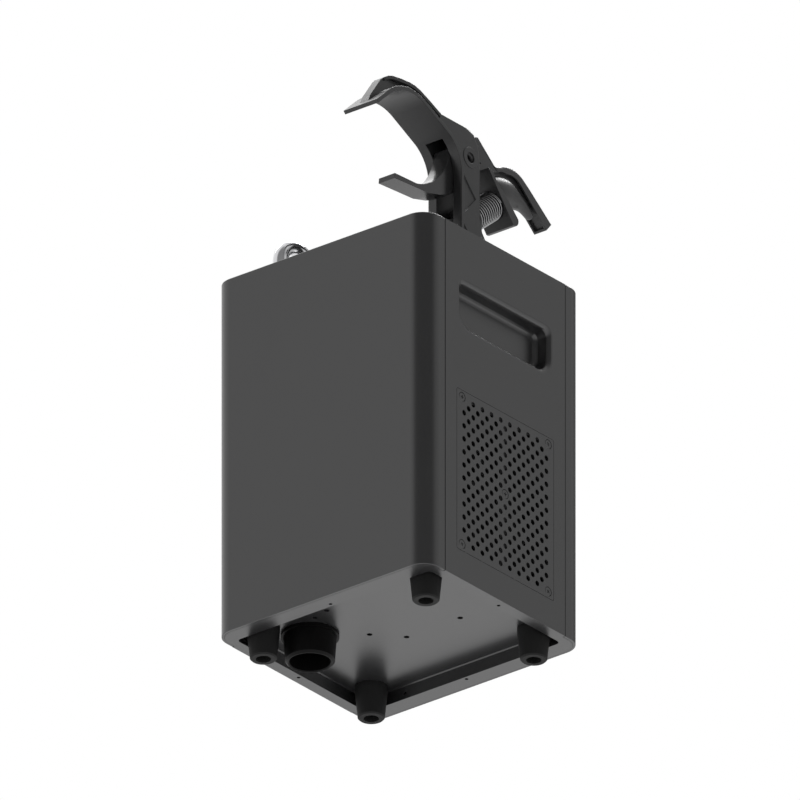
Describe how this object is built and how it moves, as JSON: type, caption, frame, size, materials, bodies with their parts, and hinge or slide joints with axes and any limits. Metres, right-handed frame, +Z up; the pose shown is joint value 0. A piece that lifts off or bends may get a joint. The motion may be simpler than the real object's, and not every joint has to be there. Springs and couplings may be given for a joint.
{
  "type": "cold spark machine",
  "caption": "Hanging cold spark machine: upright sheet-metal housing with a downward nozzle on rubber feet, side vents, finger pockets, a trigger clamp and a lifting eye on top.",
  "frame": {"origin": "point on the ground midway between the four feet, under the middle of the housing", "axes": "+Z up, +X to the right seen from the front, +Y to the back with the control panel; the clamp's tube lies along X"},
  "size_m": [0.181, 0.2374, 0.424],
  "materials": {
    "powder_coat": "satin dark grey fine-grained powder coat",
    "black_screw": "black oxide, low sheen",
    "foot_rubber": "matte moulded rubber",
    "zinc_steel": "zinc plated",
    "nozzle_black": "black, heat resistant, semi-gloss",
    "bright_chrome": "polished plating",
    "clamp_black": "black powder-coated casting, satin",
    "jaw_metal": "black satin casting",
    "pin_steel": "bright steel",
    "spring_steel": "dark spring wire",
    "panel_black": "fine matte black",
    "display_glass": "tinted clear window",
    "button_plastic": "satin moulded",
    "socket_blue": "moulded, satin",
    "socket_grey": "moulded, satin",
    "socket_black": "moulded, satin",
    "rocker_red": "gloss moulded",
    "cap_plastic": "moulded, satin",
    "seal_rubber": "soft rubber",
    "spun_aluminium": "machined",
    "motor_case": "machined",
    "heater_felt": "heat-proof fibre sleeve",
    "fan_plastic": "moulded glass-filled",
    "supply_case": "folded sheet",
    "circuit_board": "green laminate"
  },
  "bodies": {
    "housing": {"front_cover": "powder_coat", "rear_cover": "powder_coat", "left_side_panel": "powder_coat", "right_side_panel": "powder_coat", "top_plate": "powder_coat", "bottom_frame": "powder_coat", "bottom_plate": "powder_coat", "left_handle_pocket": "powder_coat", "right_handle_pocket": "powder_coat", "left_vent_grille": "powder_coat", "right_vent_grille": "powder_coat", "grille_screws": "black_screw", "foot_front_left": "foot_rubber", "foot_front_right": "foot_rubber", "foot_rear_left": "foot_rubber", "foot_rear_right": "foot_rubber", "foot_screws": "zinc_steel", "nozzle": "nozzle_black", "safety_eye": "bright_chrome", "eye_nut": "zinc_steel", "clamp_body": "clamp_black", "jaw_pin": "pin_steel", "lever_pin": "pin_steel", "clamp_spring": "spring_steel", "clamp_bolt": "zinc_steel", "clamp_washer": "zinc_steel", "clamp_nut": "zinc_steel", "hanging_bracket": "zinc_steel", "rear_panel": "panel_black", "display_window": "display_glass", "power_inlet": "socket_blue", "power_outlet": "socket_grey", "dmx_input": "socket_black", "dmx_output": "socket_black", "switch_bezel": "socket_black", "filler_neck": "cap_plastic", "granule_hopper": "spun_aluminium", "feed_housing": "spun_aluminium", "feed_motor": "motor_case", "heater_tube": "motor_case", "heater_sleeve": "heater_felt", "blower_housing": "fan_plastic", "cooling_fan_frame": "fan_plastic", "power_supply": "supply_case", "control_board": "circuit_board"},
    "clamp_jaw": {"clamp_jaw": "jaw_metal"},
    "clamp_lever": {"clamp_lever": "clamp_black"},
    "cap_lift": {"filler_cap_seal": "seal_rubber"},
    "filler_cap": {"filler_cap": "cap_plastic"},
    "menu_button": {"menu_button": "button_plastic"},
    "up_button": {"up_button": "button_plastic"},
    "down_button": {"down_button": "button_plastic"},
    "enter_button": {"enter_button": "button_plastic"},
    "switch_rocker": {"switch_rocker": "rocker_red"},
    "feed_auger": {"feed_auger": "pin_steel"},
    "blower_impeller": {"blower_impeller": "fan_plastic"},
    "cooling_fan_rotor": {"cooling_fan_rotor": "fan_plastic"}
  },
  "joints": [
    {"name": "jaw_swing", "type": "hinge", "parent": "housing", "child": "clamp_jaw", "pos_m": [0, 0.0607, 0.3897], "axis": [1, 0, 0], "range_deg": [-12, 20]},
    {"name": "lever_pull", "type": "hinge", "parent": "housing", "child": "clamp_lever", "pos_m": [0, 0.0645, 0.4022], "axis": [1, 0, 0], "range_deg": [-12, 0], "stiffness_Nm_per_rad": 1.2, "springref_deg": 14.32, "deforming": ["clamp_spring"]},
    {"name": "cap_lift", "type": "slide", "parent": "housing", "child": "cap_lift", "axis": [0, 0, 1], "range_m": [0, 0.009]},
    {"name": "cap_turn", "type": "hinge", "parent": "cap_lift", "child": "filler_cap", "pos_m": [0.038, -0.04, 0.2787], "axis": [0, 0, 1], "range_deg": [0, 1080]},
    {"name": "menu_press", "type": "slide", "parent": "housing", "child": "menu_button", "axis": [0, -1, 0], "range_m": [0, 0.0012], "stiffness_N_per_m": 300, "springref_m": -0.0008},
    {"name": "up_press", "type": "slide", "parent": "housing", "child": "up_button", "axis": [0, -1, 0], "range_m": [0, 0.0012], "stiffness_N_per_m": 300, "springref_m": -0.0008},
    {"name": "down_press", "type": "slide", "parent": "housing", "child": "down_button", "axis": [0, -1, 0], "range_m": [0, 0.0012], "stiffness_N_per_m": 300, "springref_m": -0.0008},
    {"name": "enter_press", "type": "slide", "parent": "housing", "child": "enter_button", "axis": [0, -1, 0], "range_m": [0, 0.0012], "stiffness_N_per_m": 300, "springref_m": -0.0008},
    {"name": "switch_rock", "type": "hinge", "parent": "housing", "child": "switch_rocker", "pos_m": [-0.041, 0.076, 0.222], "axis": [1, 0, 0], "range_deg": [-20, 0]},
    {"name": "auger_spin", "type": "hinge", "parent": "housing", "child": "feed_auger", "pos_m": [0, -0.04, 0.158], "axis": [1, 0, 0], "continuous": true},
    {"name": "blower_spin", "type": "hinge", "parent": "housing", "child": "blower_impeller", "pos_m": [-0.0515, 0.028, 0.035], "axis": [0, 0, 1], "continuous": true},
    {"name": "fan_spin", "type": "hinge", "parent": "housing", "child": "cooling_fan_rotor", "pos_m": [0.07, 0, 0.0938], "axis": [1, 0, 0], "continuous": true}
  ],
  "couplings": [
    {"joint": "cap_lift", "follows": "cap_turn", "m_per_rad": 0.00047746}
  ]
}
